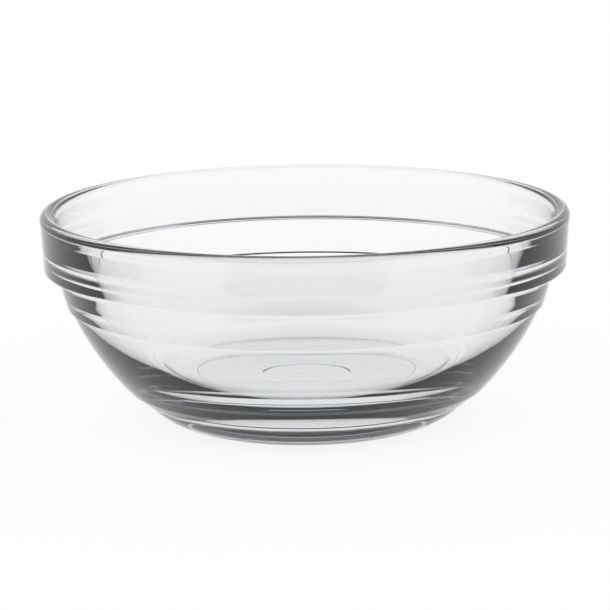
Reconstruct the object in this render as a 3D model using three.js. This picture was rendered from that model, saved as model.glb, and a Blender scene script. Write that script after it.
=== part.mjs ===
// Stackable bowl of clear tempered glass, pressed in one piece and turned about the Z axis.
// Millimetres, +Z up. The origin is the middle of the foot ring, on the plane the bowl stands on.

import * as THREE from 'three';

// Overall size
const RIM_DIAMETER = 140;
const HEIGHT = 56.4;

// Rounded lip, a little proud of the stacking band
const LIP_THICKNESS = 3.9;
const LIP_HEIGHT = 3.9;
const LIP_OVERHANG = 0.28;

// Stacking band under the lip, tapering to its lower edge
const BAND_HEIGHT = 15.6;
const BAND_TAPER = 0.55;
const BAND_EDGE_ROUND = 1.3;

// Ledge that sits on the rim of the bowl below, and the neck that drops into that rim
const LEDGE_WIDTH = 3.42;
const LEDGE_ROUND = 0.7;
const NECK_HEIGHT = 9.2;
const NECK_TAPER = 2.43;
const NECK_BULGE = 0.1;

// Small second shoulder, and the curved wall under it
const SHOULDER_STEP = 0.75;
const SHOULDER_DROP = 0.35;
const SHOULDER_ROUND = 0.35;
const WALL_BULGE = 1.11;

// Pressed rings around the base, and the hollow between them and the foot
const RING_ZONE_DIAMETER = 96.8;
const RING_ZONE_HEIGHT = 9.65;
const RING_COUNT = 2;
const RING_PROUD = 0.09;
const RING_BACK = 0.4;
const HOLLOW_DIAMETER = 86.2;
const HOLLOW_HEIGHT = 5.6;
const FLARE_BULGE = 0.8;

// Foot ring, the shallow recess inside it and a plain round press mark in its middle
const FOOT_DIAMETER = 67.8;
const FOOT_RING_WIDTH = 2.6;
const RECESS_DEPTH = 0.12;
const RECESS_DRAFT = 0.2;
const RECESS_ROUND = 0.3;
const MARK_DIAMETER = 25;
const MARK_DEPTH = 0.15;
const MARK_DRAFT = 0.8;
const MARK_ROUND = 2;

// Inside: a nearly flat floor, a rounded corner, a curved wall and a neck, each running into the next
const BASE_THICKNESS = 8.4;
const FLOOR_DIAMETER = 56.7;
const FLOOR_DISH = 0.04;
const CORNER_RADIUS = 21.6;
const CORNER_END_SLOPE = 31.1; // degrees
const INNER_NECK_HEIGHT = 18.4;
const INNER_NECK_TAPER = 6.1;

// Fineness of the faceted solid
const TURN_FACETS = 60;
const ROUND_STEPS = 4;
const ARC_STEPS = 6;

// A point of the turned outline: distance from the axis, and height
function at(radius, height) {
  return new THREE.Vector2(radius, height);
}

// Points on an arc from one point to another, whose middle stands out from the chord by bulge,
// to the right of the way it runs. The first point is left out.
function arc(from, to, bulge) {
  const chord = to.clone().sub(from);
  const outward = at(chord.y, -chord.x).normalize();
  const radius = (chord.lengthSq() / 4 + bulge * bulge) / (2 * bulge);
  const middle = from.clone().lerp(to, 0.5);
  const centre = middle.addScaledVector(outward, bulge - radius);
  const start = from.clone().sub(centre);
  const sweep = 2 * Math.asin(chord.length() / (2 * radius));
  const points = [];
  for (let step = 1; step <= ARC_STEPS; step += 1) {
    const turn = (sweep * step) / ARC_STEPS;
    points.push(start.clone().rotateAround(at(0, 0), turn).add(centre));
  }
  return points;
}

// Points on the arc that leaves one point with a given slope and ends at another.
// The first point is left out.
function arcLeaving(from, slope, to) {
  const chord = to.clone().sub(from);
  const lean = chord.angle() - slope;
  return arc(from, to, (chord.length() / 2) * Math.tan(lean / 2));
}

// Points that round a corner of the outline with a fillet
function rounded(before, corner, after, radius) {
  const back = before.clone().sub(corner).normalize();
  const ahead = after.clone().sub(corner).normalize();
  const halfAngle = Math.acos(back.dot(ahead)) / 2;
  const bisector = back.clone().add(ahead).normalize();
  const centre = corner.clone().addScaledVector(bisector, radius / Math.sin(halfAngle));
  const start = corner.clone().addScaledVector(back, radius / Math.tan(halfAngle)).sub(centre);
  const side = Math.sign(back.cross(ahead));
  const sweep = side * (Math.PI - 2 * halfAngle);
  const points = [];
  for (let step = 0; step <= ROUND_STEPS; step += 1) {
    const turn = (-sweep * step) / ROUND_STEPS;
    points.push(start.clone().rotateAround(at(0, 0), turn).add(centre));
  }
  return points;
}

// Underside: the press mark, the recess inside the foot ring, and the flat ring that the bowl stands on
function undersideOutline() {
  const footRadius = FOOT_DIAMETER / 2;
  const footInside = footRadius - FOOT_RING_WIDTH;
  const middle = at(0, RECESS_DEPTH + MARK_DEPTH);
  const markInner = at(MARK_DIAMETER / 2 - MARK_DRAFT, middle.y);
  const markOuter = at(MARK_DIAMETER / 2, RECESS_DEPTH);
  const recessCorner = at(footInside - RECESS_DRAFT, RECESS_DEPTH);
  const footInner = at(footInside, 0);
  const footOuter = at(footRadius, 0);
  return [
    middle,
    ...rounded(middle, markInner, markOuter, MARK_ROUND),
    ...rounded(markInner, markOuter, recessCorner, MARK_ROUND),
    ...rounded(markOuter, recessCorner, footInner, RECESS_ROUND),
    footInner,
    footOuter,
  ];
}

// Flare from the foot up to the hollow, then the pressed rings, each a crest with a step back above it
function baseOutline(foot) {
  const hollow = at(HOLLOW_DIAMETER / 2, HOLLOW_HEIGHT);
  const top = at(RING_ZONE_DIAMETER / 2, RING_ZONE_HEIGHT);
  const climb = top.clone().sub(hollow);
  const along = climb.clone().normalize();
  const outward = at(along.y, -along.x);
  const points = arc(foot, hollow, FLARE_BULGE);
  for (let ring = 1; ring <= RING_COUNT; ring += 1) {
    const step = hollow.clone().addScaledVector(climb, ring / RING_COUNT);
    const crest = step.clone().addScaledVector(along, -RING_BACK).addScaledVector(outward, RING_PROUD);
    points.push(crest, step);
  }
  return points;
}

// Curved wall, second shoulder, neck, ledge and band, up to the underside of the lip
function wallOutline(ringTop) {
  const bandTop = at(RIM_DIAMETER / 2 - LIP_OVERHANG, HEIGHT - LIP_HEIGHT);
  const bandEdge = at(bandTop.x - BAND_TAPER, HEIGHT - BAND_HEIGHT);
  const ledgeCorner = at(bandEdge.x - LEDGE_WIDTH, bandEdge.y);
  const shoulder = at(ledgeCorner.x - NECK_TAPER, ledgeCorner.y - NECK_HEIGHT);
  const wallTop = at(shoulder.x - SHOULDER_STEP, shoulder.y - SHOULDER_DROP);
  const wall = arc(ringTop, wallTop, WALL_BULGE);
  const wallBelowTop = wall.at(-2);
  const neck = arc(shoulder, ledgeCorner, NECK_BULGE);
  const [neckStart] = neck;
  const neckBelowLedge = neck.at(-2);
  return [
    ...wall.slice(0, -1),
    ...rounded(wallBelowTop, wallTop, shoulder, SHOULDER_ROUND),
    ...rounded(wallTop, shoulder, neckStart, SHOULDER_ROUND),
    ...neck.slice(0, -1),
    ...rounded(neckBelowLedge, ledgeCorner, bandEdge, LEDGE_ROUND),
    ...rounded(ledgeCorner, bandEdge, bandTop, BAND_EDGE_ROUND),
    bandTop,
  ];
}

// Lip: a full round over the rim, from its widest point outside to where the inside wall starts
function lipOutline() {
  const roundRadius = LIP_THICKNESS / 2;
  const centre = at(RIM_DIAMETER / 2 - roundRadius, HEIGHT - roundRadius);
  const points = [];
  for (let step = 0; step <= 2 * ROUND_STEPS; step += 1) {
    const turn = (Math.PI * step) / (2 * ROUND_STEPS);
    points.push(at(roundRadius, 0).rotateAround(at(0, 0), turn).add(centre));
  }
  return points;
}

// Inside: from below the lip's inner edge down the neck and wall and round the corner to the middle of the floor
function insideOutline() {
  const mouth = at(RIM_DIAMETER / 2 - LIP_THICKNESS, HEIGHT - LIP_THICKNESS / 2);
  const middle = at(0, BASE_THICKNESS);
  const floorEdge = at(FLOOR_DIAMETER / 2, BASE_THICKNESS + FLOOR_DISH);
  const floorSlope = 2 * Math.atan2(FLOOR_DISH, FLOOR_DIAMETER / 2);
  const cornerSlope = THREE.MathUtils.degToRad(CORNER_END_SLOPE);
  const cornerWidth = CORNER_RADIUS * (Math.sin(cornerSlope) - Math.sin(floorSlope));
  const cornerHeight = CORNER_RADIUS * (Math.cos(floorSlope) - Math.cos(cornerSlope));
  const cornerEnd = at(floorEdge.x + cornerWidth, floorEdge.y + cornerHeight);
  const neckStart = at(mouth.x - INNER_NECK_TAPER, mouth.y - INNER_NECK_HEIGHT);
  const wallSlope = 2 * neckStart.clone().sub(cornerEnd).angle() - cornerSlope;
  const floor = arcLeaving(middle, 0, floorEdge);
  const corner = arcLeaving(floorEdge, floorSlope, cornerEnd);
  const wall = arcLeaving(cornerEnd, cornerSlope, neckStart);
  const neck = arcLeaving(neckStart, wallSlope, mouth);
  return [middle, ...floor, ...corner, ...wall, ...neck.slice(0, -1)].reverse();
}

// The whole outline, turned about the axis and stood up along Z
function bowlGeometry() {
  const underside = undersideOutline();
  const base = baseOutline(underside.at(-1));
  const wall = wallOutline(base.at(-1));
  const outline = [...underside, ...base, ...wall, ...lipOutline(), ...insideOutline()];
  return new THREE.LatheGeometry(outline, TURN_FACETS).rotateX(Math.PI / 2);
}

function clearGlass() {
  return new THREE.MeshStandardMaterial({
    color: 0xf4f7f7,
    roughness: 0.02,
    metalness: 0,
    transparent: true,
    opacity: 0.3,
  });
}

const bowl = new THREE.Mesh(bowlGeometry(), clearGlass());
bowl.name = 'glass_bowl';

const model = new THREE.Group();
model.add(bowl);

export default model;
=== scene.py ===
"""Stacking bowl of clear pressed glass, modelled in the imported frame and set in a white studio."""

import math

import bpy
from bpy.props import FloatProperty, FloatVectorProperty, IntProperty, PointerProperty
from bpy.types import Operator, Panel, PropertyGroup
from mathutils import Matrix, Vector


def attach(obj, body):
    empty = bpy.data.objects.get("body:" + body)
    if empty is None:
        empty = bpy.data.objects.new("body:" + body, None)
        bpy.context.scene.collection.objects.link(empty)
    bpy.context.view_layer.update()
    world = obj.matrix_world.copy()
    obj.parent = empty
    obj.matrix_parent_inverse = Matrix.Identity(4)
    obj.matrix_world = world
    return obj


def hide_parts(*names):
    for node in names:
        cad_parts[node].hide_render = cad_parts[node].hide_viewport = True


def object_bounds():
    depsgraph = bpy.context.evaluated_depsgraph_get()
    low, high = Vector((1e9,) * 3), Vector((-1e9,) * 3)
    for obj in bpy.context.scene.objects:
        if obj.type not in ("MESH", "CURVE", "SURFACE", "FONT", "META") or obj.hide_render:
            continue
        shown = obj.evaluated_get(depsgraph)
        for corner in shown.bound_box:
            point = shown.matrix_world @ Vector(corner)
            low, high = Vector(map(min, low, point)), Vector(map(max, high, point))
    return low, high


bl_info = {
    "name": "Stacking Glass Bowl",
    "version": (1, 0, 0),
    "blender": (4, 5, 0),
    "location": "3D View > Sidebar > Glass Bowl",
    "description": "Models a pressed glass stacking bowl and sets the studio around it",
    "category": "Add Mesh",
}

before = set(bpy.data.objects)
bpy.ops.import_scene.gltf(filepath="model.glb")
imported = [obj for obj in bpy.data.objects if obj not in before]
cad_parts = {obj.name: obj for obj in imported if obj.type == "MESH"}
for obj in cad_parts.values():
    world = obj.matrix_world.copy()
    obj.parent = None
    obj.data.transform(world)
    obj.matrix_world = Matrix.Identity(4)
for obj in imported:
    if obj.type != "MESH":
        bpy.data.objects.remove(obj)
CAD_LOW, CAD_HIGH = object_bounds()

BOWL_NODE = "glass_bowl"
BOWL_BODY = "root"
MM = 0.001
WHITE = (1.0, 1.0, 1.0, 1.0)

# Fineness of the outline, the turned skin and the floor
ROUND_STEPS = 6
ARC_STEPS = 20
LIP_STEPS = 24
MERGE_DISTANCE = MM / 1000
SMOOTH_ANGLE = math.radians(40)
FLOOR_SIDES = 96

# Share of the shorter side that the softening of a pressed ring may take up
RING_ROUND_SHARE = 0.45

# Distance that the neck's points keep from the ledge's corner, in radii of the fillet there
LEDGE_CLEARANCE = 1.3


def length(name, description, millimetres):
    """A size given in millimetres and kept in metres."""
    return FloatProperty(
        name=name,
        description=description,
        default=millimetres * MM,
        min=0.0,
        unit="LENGTH",
    )


class BowlSizes(PropertyGroup):
    """Overall size, then the sizes of the turned outline in the order that it meets them."""

    rim_diameter: FloatProperty(
        name="Rim Diameter",
        description="Distance across the lip at its widest",
        default=CAD_HIGH[0] - CAD_LOW[0],
        unit="LENGTH",
    )
    height: FloatProperty(
        name="Height",
        description="From the foot ring to the crest of the lip",
        default=CAD_HIGH[2] - CAD_LOW[2],
        unit="LENGTH",
    )
    mark_diameter: length("Mark Diameter", "Diameter of the plain round press mark in the underside", 25.0)
    mark_depth: length("Mark Depth", "How far the press mark is set up from the recess", 0.15)
    mark_draft: length("Mark Draft", "How far the side of the press mark leans in", 0.8)
    mark_round: length("Mark Round", "Softening of the press mark's two edges", 2.0)
    recess_depth: length("Recess Depth", "How far the underside is set up inside the foot ring", 0.12)
    recess_draft: length("Recess Draft", "How far the side of the recess leans in", 0.2)
    recess_round: length("Recess Round", "Fillet in the corner of the recess", 0.3)
    foot_diameter: length("Foot Diameter", "Outside of the foot ring", 67.8)
    foot_ring_width: length("Foot Ring Width", "Width of the flat ring that the bowl stands on", 2.6)
    foot_round: length("Foot Round", "Softening of the foot ring's two edges", 0.15)
    flare_bulge: length("Flare Bulge", "How far the flare above the foot swells", 0.8)
    hollow_diameter: length("Hollow Diameter", "Diameter at the hollow above the flare", 86.2)
    hollow_height: length("Hollow Height", "Height of the hollow above the flare", 5.6)
    ring_zone_diameter: length("Ring Zone Diameter", "Diameter at the top of the pressed rings", 96.8)
    ring_zone_height: length("Ring Zone Height", "Height of the top of the pressed rings", 9.65)
    ring_proud: length("Ring Proud", "How far a ring's crest stands out", 0.09)
    ring_back: length("Ring Back", "How far a ring's crest lies below its step", 0.4)
    ring_round: length("Ring Round", "Softening of the pressed rings", 0.25)
    wall_bulge: length("Wall Bulge", "How far the lower wall swells from its chord", 1.11)
    shoulder_step: length("Shoulder Step", "Width of the small second shoulder", 0.75)
    shoulder_drop: length("Shoulder Drop", "Height of the small second shoulder", 0.35)
    shoulder_round: length("Shoulder Round", "Rounding of the second shoulder", 0.35)
    neck_height: length("Neck Height", "From the second shoulder up to the ledge", 9.2)
    neck_taper: length("Neck Taper", "How much the neck widens on one side", 2.43)
    neck_bulge: length("Neck Bulge", "How far the neck swells from its chord", 0.1)
    ledge_width: length("Ledge Width", "Width of the ledge that sits on a rim below", 3.42)
    ledge_round: length("Ledge Round", "Fillet between the neck and the ledge", 0.7)
    band_height: length("Band Height", "From the ledge up to the crest of the lip", 15.6)
    band_taper: length("Band Taper", "How much the band narrows towards its lower edge", 0.55)
    band_edge_round: length("Band Edge Round", "Rounding of the band's lower edge", 1.3)
    lip_thickness: length("Lip Thickness", "Thickness of the lip, which is fully round", 3.9)
    lip_height: length("Lip Height", "Height of the lip above the band", 3.9)
    lip_overhang: length("Lip Overhang", "How far the lip stands out over the band", 0.28)
    lip_fillet: length("Lip Fillet", "Softening where the lip meets the band", 0.6)
    base_thickness: length("Base Thickness", "From the foot ring up to the middle of the floor inside", 8.4)
    floor_diameter: length("Floor Diameter", "Diameter of the nearly flat floor inside", 56.7)
    floor_dish: length("Floor Dish", "How far the floor is dished", 0.04)
    corner_radius: length("Corner Radius", "Radius between the floor and the wall inside", 21.6)
    corner_angle: FloatProperty(
        name="Corner Angle",
        description="Slope where the corner inside runs into the wall",
        default=math.radians(31.1),
        subtype="ANGLE",
    )
    inner_neck_height: length("Inner Neck Height", "From the top of the wall inside up to the lip", 18.4)
    inner_neck_taper: length("Inner Neck Taper", "How much the neck inside widens on one side", 6.1)
    ring_count: IntProperty(name="Rings", description="Number of pressed rings", default=2, min=1)
    facets: IntProperty(name="Facets", description="Number of steps around the axis", default=240, min=24)


class GlassFinish(PropertyGroup):
    """Finish of the clear glass."""

    tint: FloatVectorProperty(
        name="Tint",
        description="Colour that thick glass takes on",
        default=(0.858, 0.872, 0.886),
        subtype="COLOR",
        min=0.0,
        max=1.0,
    )
    tint_density: FloatProperty(
        name="Tint Density",
        description="How soon thick glass takes on its tint, per metre",
        default=90.0,
    )
    refraction: FloatProperty(name="Refraction", description="Index of refraction", default=1.5)
    ripple_spacing: length("Ripple Spacing", "Distance between the faint ripples left by the press", 14.0)
    ripple_depth: length("Ripple Depth", "Depth of the faint ripples left by the press", 0.01)


class StudioSettings(PropertyGroup):
    """Floor, surroundings and camera."""

    floor_radius: FloatProperty(
        name="Floor Radius",
        description="Half the floor's width",
        default=6.0,
        unit="LENGTH",
    )
    floor_colour: FloatVectorProperty(
        name="Floor Colour",
        description="Colour of the pale floor",
        default=(0.90, 0.90, 0.90),
        subtype="COLOR",
        min=0.0,
        max=1.0,
    )
    floor_glow: FloatProperty(
        name="Floor Glow",
        description="Share of the floor's white that its own light gives",
        default=0.7,
        subtype="FACTOR",
        min=0.0,
        max=1.0,
    )
    floor_light: FloatProperty(
        name="Floor Light",
        description="Strength of the floor's own light",
        default=1.14,
    )
    wall_level: FloatProperty(
        name="Wall Level",
        description="Brightness of the white walls around",
        default=1.0,
    )
    ceiling_level: FloatProperty(
        name="Ceiling Level",
        description="Brightness of the dim ceiling",
        default=0.03,
    )
    wall_top: FloatProperty(
        name="Wall Top",
        description="Height of the white walls as an angle above the horizon",
        default=math.radians(60.0),
        subtype="ANGLE",
    )
    wall_fade: FloatProperty(
        name="Wall Fade",
        description="Angle over which the walls fade into the ceiling",
        default=math.radians(4.0),
        subtype="ANGLE",
    )
    camera_target: FloatVectorProperty(
        name="Camera Target",
        description="Point in the middle of the picture",
        default=(-0.000189, 0.0, 0.029736),
        subtype="TRANSLATION",
        unit="LENGTH",
    )
    camera_distance: FloatProperty(
        name="Camera Distance",
        description="From the camera to its target",
        default=0.8,
        unit="LENGTH",
    )
    camera_elevation: FloatProperty(
        name="Camera Elevation",
        description="Angle of the camera above the horizon",
        default=math.radians(12.0667),
        subtype="ANGLE",
    )
    camera_roll: FloatProperty(
        name="Camera Roll",
        description="Turn of the camera about its own axis",
        default=-0.0116,
        subtype="ANGLE",
    )
    picture_side: IntProperty(
        name="Picture Side",
        description="Width and height of the picture in pixels",
        default=610,
        subtype="PIXEL",
    )
    focal_pixels: FloatProperty(
        name="Focal Length In Pixels",
        description="Focal length measured in pixels of the picture",
        default=3002.76,
    )


# Outline: points are (distance from the axis, height)


def swing(centre, spoke, sweep, steps):
    """Points that the end of a spoke passes as it turns about a centre."""
    return [centre + Matrix.Rotation(sweep * step / steps, 2) @ spoke for step in range(steps + 1)]


def arc(start, end, bulge):
    """Points from start to end whose middle stands out by bulge, to the right of the way it runs."""
    chord = end - start
    outward = Vector((chord.y, -chord.x)).normalized()
    radius = (chord.length_squared / 4 + bulge * bulge) / (2 * bulge)
    centre = (start + end) / 2 + outward * (bulge - radius)
    sweep = 2 * math.asin(chord.length / (2 * radius))
    return swing(centre, start - centre, sweep, ARC_STEPS)


def arc_leaving(start, slope, end):
    """Points on the arc that leaves start with a given slope and ends at end."""
    chord = end - start
    lean = math.atan2(chord.y, chord.x) - slope
    return arc(start, end, chord.length / 2 * math.tan(lean / 2))


def rounded(before, corner, after, radius):
    """Points that round a corner with a fillet."""
    back = (before - corner).normalized()
    ahead = (after - corner).normalized()
    half = back.angle(ahead) / 2
    centre = corner + (back + ahead).normalized() * radius / math.sin(half)
    spoke = corner + back * radius / math.tan(half) - centre
    sweep = math.copysign(math.pi - 2 * half, ahead.cross(back))
    return swing(centre, spoke, sweep, ROUND_STEPS)


def flare_outline(sizes):
    """Flare from the foot ring up to the hollow."""
    foot = Vector((sizes.foot_diameter / 2, 0.0))
    hollow = Vector((sizes.hollow_diameter / 2, sizes.hollow_height))
    return arc(foot, hollow, sizes.flare_bulge)


def underside_outline(sizes):
    """Press mark, recess inside the foot ring, the flat ring, and the flare up to the hollow."""
    foot = sizes.foot_diameter / 2
    inside = foot - sizes.foot_ring_width
    middle = Vector((0.0, sizes.recess_depth + sizes.mark_depth))
    mark_inner = Vector((sizes.mark_diameter / 2 - sizes.mark_draft, middle.y))
    mark_outer = Vector((sizes.mark_diameter / 2, sizes.recess_depth))
    corner = Vector((inside - sizes.recess_draft, sizes.recess_depth))
    inner = Vector((inside, 0.0))
    outer = Vector((foot, 0.0))
    flare = flare_outline(sizes)
    return [
        middle,
        *rounded(middle, mark_inner, mark_outer, sizes.mark_round),
        *rounded(mark_inner, mark_outer, corner, sizes.mark_round),
        *rounded(mark_outer, corner, inner, sizes.recess_round),
        *rounded(corner, inner, outer, sizes.foot_round),
        *rounded(inner, outer, flare[1], sizes.foot_round),
        *flare[1:-1],
    ]


def ring_outline(sizes, wall_start):
    """Pressed rings, each a crest with a step back above it."""
    hollow = Vector((sizes.hollow_diameter / 2, sizes.hollow_height))
    top = Vector((sizes.ring_zone_diameter / 2, sizes.ring_zone_height))
    climb = top - hollow
    along = climb.normalized()
    outward = Vector((along.y, -along.x))
    corners = [flare_outline(sizes)[-2], hollow]
    for ring in range(1, sizes.ring_count + 1):
        step = hollow + climb * ring / sizes.ring_count
        corners += [step - along * sizes.ring_back + outward * sizes.ring_proud, step]
    corners.append(wall_start)
    points = []
    for before, corner, after in zip(corners, corners[1:], corners[2:]):
        room = RING_ROUND_SHARE * min((before - corner).length, (after - corner).length)
        half = (before - corner).angle(after - corner) / 2
        points += rounded(before, corner, after, min(sizes.ring_round, room * math.tan(half)))
    return points


def wall_outline(sizes):
    """Pressed rings, lower wall, second shoulder, neck, ledge and band, up to the underside of the lip."""
    ring_top = Vector((sizes.ring_zone_diameter / 2, sizes.ring_zone_height))
    band_top = Vector((sizes.rim_diameter / 2 - sizes.lip_overhang, sizes.height - sizes.lip_height))
    band_edge = Vector((band_top.x - sizes.band_taper, sizes.height - sizes.band_height))
    ledge = Vector((band_edge.x - sizes.ledge_width, band_edge.y))
    shoulder = Vector((ledge.x - sizes.neck_taper, ledge.y - sizes.neck_height))
    wall_top = Vector((shoulder.x - sizes.shoulder_step, shoulder.y - sizes.shoulder_drop))
    wall = arc(ring_top, wall_top, sizes.wall_bulge)
    neck = arc(shoulder, ledge, sizes.neck_bulge)
    clearance = sizes.ledge_round * LEDGE_CLEARANCE
    below_ledge = [point for point in neck[1:] if (point - ledge).length > clearance]
    lip_side = Vector((sizes.rim_diameter / 2, sizes.height - sizes.lip_thickness / 2))
    return [
        *ring_outline(sizes, wall[1]),
        *wall[1:-1],
        *rounded(wall[-2], wall_top, shoulder, sizes.shoulder_round / 2),
        *rounded(wall_top, shoulder, neck[1], sizes.shoulder_round),
        *below_ledge,
        *rounded(below_ledge[-1], ledge, band_edge, sizes.ledge_round),
        *rounded(ledge, band_edge, band_top, sizes.band_edge_round),
        *rounded(band_edge, band_top, lip_side, sizes.lip_fillet),
    ]


def lip_outline(sizes):
    """Full round over the rim, from its widest point to where the inside starts."""
    radius = sizes.lip_thickness / 2
    centre = Vector((sizes.rim_diameter / 2 - radius, sizes.height - radius))
    return swing(centre, Vector((radius, 0.0)), math.pi, LIP_STEPS)


def inside_outline(sizes):
    """Neck, wall, corner and floor inside, arcs that run into each other, from the lip to the axis."""
    mouth = Vector((sizes.rim_diameter / 2 - sizes.lip_thickness, sizes.height - sizes.lip_thickness / 2))
    neck_start = mouth - Vector((sizes.inner_neck_taper, sizes.inner_neck_height))
    middle = Vector((0.0, sizes.base_thickness))
    half_floor = sizes.floor_diameter / 2
    floor_edge = Vector((half_floor, sizes.base_thickness + sizes.floor_dish))
    floor_slope = 2 * math.atan2(sizes.floor_dish, half_floor)
    corner_width = math.sin(sizes.corner_angle) - math.sin(floor_slope)
    corner_height = math.cos(floor_slope) - math.cos(sizes.corner_angle)
    corner_end = floor_edge + sizes.corner_radius * Vector((corner_width, corner_height))
    to_neck = neck_start - corner_end
    wall_slope = 2 * math.atan2(to_neck.y, to_neck.x) - sizes.corner_angle
    floor = arc_leaving(middle, 0.0, floor_edge)
    corner = arc_leaving(floor_edge, floor_slope, corner_end)
    wall = arc_leaving(corner_end, sizes.corner_angle, neck_start)
    neck = arc_leaving(neck_start, wall_slope, mouth)
    return [*floor, *corner[1:], *wall[1:], *neck[1:-1]][::-1]


def bowl_outline(sizes):
    """The whole outline, from the middle of the underside round to the middle of the floor inside."""
    return [*underside_outline(sizes), *wall_outline(sizes), *lip_outline(sizes), *inside_outline(sizes)]


def trace_outline(name, outline):
    """Draws the outline as a chain of edges, point by point, and leaves it in edit mode."""
    # A small triangle merged into one vertex is the start of the chain
    bpy.ops.object.select_all(action="DESELECT")
    bpy.ops.mesh.primitive_circle_add(vertices=3, radius=MM, enter_editmode=True)
    piece = bpy.context.object
    piece.name = name
    bpy.ops.mesh.merge(type="CENTER")
    here = Vector((0.0, 0.0))
    for index, point in enumerate(outline):
        move = {"value": (point.x - here.x, 0.0, point.y - here.y)}
        if index == 0:
            bpy.ops.transform.translate(**move)
        else:
            bpy.ops.mesh.extrude_region_move(TRANSFORM_OT_translate=move)
        here = point
    return piece


def turn_outline(facets):
    """Turns the traced outline about the axis into a closed skin, and leaves edit mode."""
    bpy.ops.mesh.select_all(action="SELECT")
    bpy.ops.mesh.spin(steps=facets, angle=math.tau, center=(0.0, 0.0, 0.0), axis=(0.0, 0.0, 1.0))
    bpy.ops.mesh.select_all(action="SELECT")
    bpy.ops.mesh.remove_doubles(threshold=MERGE_DISTANCE)
    bpy.ops.mesh.normals_make_consistent(inside=False)
    bpy.ops.object.mode_set(mode="OBJECT")
    bpy.ops.object.shade_smooth_by_angle(angle=SMOOTH_ANGLE)


def clear_glass(finish):
    """Clear glass with the faint ripples of the press and a slight tint in its thickness."""
    material = bpy.data.materials.new("clear_glass")
    material.use_nodes = True
    nodes = material.node_tree.nodes
    links = material.node_tree.links
    shader = nodes["Principled BSDF"]
    shader.inputs["Base Color"].default_value = WHITE
    shader.inputs["Roughness"].default_value = 0.0
    shader.inputs["IOR"].default_value = finish.refraction
    shader.inputs["Transmission Weight"].default_value = 1.0
    place = nodes.new("ShaderNodeTexCoord")
    ripple = nodes.new("ShaderNodeTexNoise")
    ripple.inputs["Scale"].default_value = 1.0 / finish.ripple_spacing
    ripple.inputs["Detail"].default_value = 1.0
    bump = nodes.new("ShaderNodeBump")
    bump.inputs["Distance"].default_value = finish.ripple_depth
    links.new(place.outputs["Object"], ripple.inputs["Vector"])
    links.new(ripple.outputs["Fac"], bump.inputs["Height"])
    links.new(bump.outputs["Normal"], shader.inputs["Normal"])
    tint = nodes.new("ShaderNodeVolumeAbsorption")
    tint.inputs["Color"].default_value = (*finish.tint, 1.0)
    tint.inputs["Density"].default_value = finish.tint_density
    output = nodes["Material Output"]
    links.new(tint.outputs["Volume"], output.inputs["Volume"])
    return material


class MESH_OT_press_glass_bowl(Operator):
    """Models the glass bowl from its outline and gives it its finish"""

    bl_idname = "mesh.press_glass_bowl"
    bl_label = "Press Glass Bowl"
    bl_options = {"REGISTER", "UNDO"}

    def execute(self, context):
        scene = context.scene
        sizes = scene.bowl_sizes
        bowl = trace_outline("pressed_glass_bowl", bowl_outline(sizes))
        turn_outline(sizes.facets)
        bowl.data.materials.append(clear_glass(scene.glass_finish))
        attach(bowl, BOWL_BODY)
        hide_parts(BOWL_NODE)
        return {"FINISHED"}


def pale_floor(studio):
    """Pale floor that is white mostly by its own light and keeps a faint shadow of the bowl."""
    material = bpy.data.materials.new("pale_floor")
    material.use_nodes = True
    nodes = material.node_tree.nodes
    links = material.node_tree.links
    nodes.remove(nodes["Principled BSDF"])
    paint = nodes.new("ShaderNodeBsdfDiffuse")
    paint.inputs["Color"].default_value = (*studio.floor_colour, 1.0)
    glow = nodes.new("ShaderNodeEmission")
    glow.inputs["Strength"].default_value = studio.floor_light
    blend = nodes.new("ShaderNodeMixShader")
    blend.inputs["Fac"].default_value = studio.floor_glow
    links.new(paint.outputs["BSDF"], blend.inputs[1])
    links.new(glow.outputs["Emission"], blend.inputs[2])
    links.new(blend.outputs["Shader"], nodes["Material Output"].inputs["Surface"])
    return material


def lay_floor(studio):
    """Lays a wide round floor under the bowl."""
    bpy.ops.object.select_all(action="DESELECT")
    bpy.ops.mesh.primitive_circle_add(vertices=FLOOR_SIDES, radius=studio.floor_radius, fill_type="NGON")
    floor = bpy.context.object
    floor.name = "studio_floor"
    floor.data.materials.append(pale_floor(studio))


def surround(studio):
    """White walls all round, under a dim ceiling that gives the glass its dark lines."""
    world = bpy.data.worlds.new("studio_walls")
    world.use_nodes = True
    nodes = world.node_tree.nodes
    links = world.node_tree.links
    direction = nodes.new("ShaderNodeTexCoord")
    axes = nodes.new("ShaderNodeSeparateXYZ")
    height = nodes.new("ShaderNodeMath")
    height.operation = "ARCSINE"
    level = nodes.new("ShaderNodeMapRange")
    level.inputs["From Min"].default_value = studio.wall_top - studio.wall_fade / 2
    level.inputs["From Max"].default_value = studio.wall_top + studio.wall_fade / 2
    level.inputs["To Min"].default_value = studio.wall_level
    level.inputs["To Max"].default_value = studio.ceiling_level
    backdrop = nodes["Background"]
    backdrop.inputs["Color"].default_value = WHITE
    links.new(direction.outputs["Generated"], axes.inputs["Vector"])
    links.new(axes.outputs["Z"], height.inputs[0])
    links.new(height.outputs["Value"], level.inputs["Value"])
    links.new(level.outputs["Result"], backdrop.inputs["Strength"])
    bpy.context.scene.world = world


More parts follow.
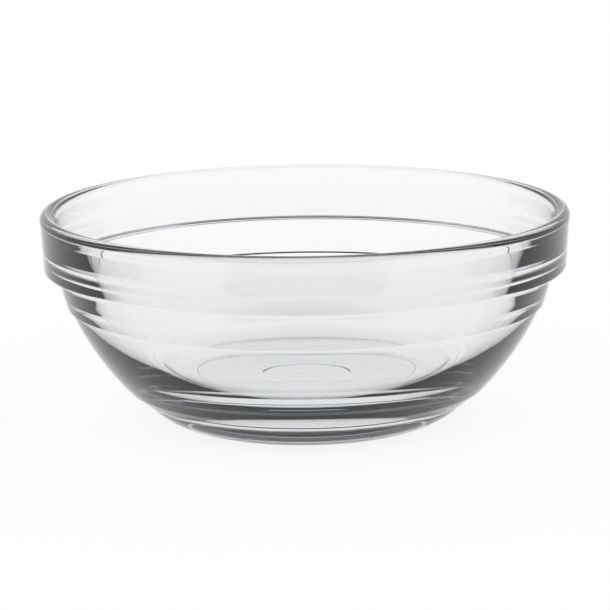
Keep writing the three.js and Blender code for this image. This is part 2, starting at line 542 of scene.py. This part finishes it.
def place_camera(studio):
    """Places the camera in front of the bowl, a little above it, with the picture's perspective."""
    elevation = studio.camera_elevation
    back = Vector((0.0, -math.cos(elevation), math.sin(elevation)))
    bpy.ops.object.camera_add(location=Vector(studio.camera_target) + back * studio.camera_distance)
    camera = bpy.context.object
    camera.name = "picture_camera"
    facing = back.to_track_quat("Z", "Y").to_matrix() @ Matrix.Rotation(studio.camera_roll, 3, "Z")
    camera.rotation_euler = facing.to_euler()
    camera.data.lens = camera.data.sensor_width * studio.focal_pixels / studio.picture_side
    camera.data.clip_end = 2 * studio.floor_radius
    bpy.context.scene.camera = camera


class SCENE_OT_set_bowl_stage(Operator):
    """Lays the floor, lights the surroundings and places the camera"""

    bl_idname = "scene.set_bowl_stage"
    bl_label = "Set Bowl Stage"
    bl_options = {"REGISTER", "UNDO"}

    def execute(self, context):
        studio = context.scene.bowl_studio
        lay_floor(studio)
        surround(studio)
        place_camera(studio)
        context.scene.view_settings.view_transform = "Standard"
        return {"FINISHED"}


class VIEW3D_PT_glass_bowl(Panel):
    """Lists the bowl's operators and what a user would change"""

    bl_label = "Glass Bowl"
    bl_idname = "VIEW3D_PT_glass_bowl"
    bl_space_type = "VIEW_3D"
    bl_region_type = "UI"
    bl_category = "Glass Bowl"

    def draw(self, context):
        layout = self.layout
        layout.use_property_split = True
        for operator, settings in (
            (MESH_OT_press_glass_bowl, context.scene.bowl_sizes),
            (None, context.scene.glass_finish),
            (SCENE_OT_set_bowl_stage, context.scene.bowl_studio),
        ):
            box = layout.box()
            for name in settings.__annotations__:
                box.prop(settings, name)
            if operator:
                box.operator(operator.bl_idname)


CLASSES = (
    BowlSizes,
    GlassFinish,
    StudioSettings,
    MESH_OT_press_glass_bowl,
    SCENE_OT_set_bowl_stage,
    VIEW3D_PT_glass_bowl,
)


def register():
    for cls in CLASSES:
        bpy.utils.register_class(cls)
    bpy.types.Scene.bowl_sizes = PointerProperty(type=BowlSizes)
    bpy.types.Scene.glass_finish = PointerProperty(type=GlassFinish)
    bpy.types.Scene.bowl_studio = PointerProperty(type=StudioSettings)


def unregister():
    del bpy.types.Scene.bowl_studio
    del bpy.types.Scene.glass_finish
    del bpy.types.Scene.bowl_sizes
    for cls in reversed(CLASSES):
        bpy.utils.unregister_class(cls)


def main():
    register()
    bpy.ops.mesh.press_glass_bowl()
    bpy.ops.scene.set_bowl_stage()


if __name__ == "__main__":
    main()
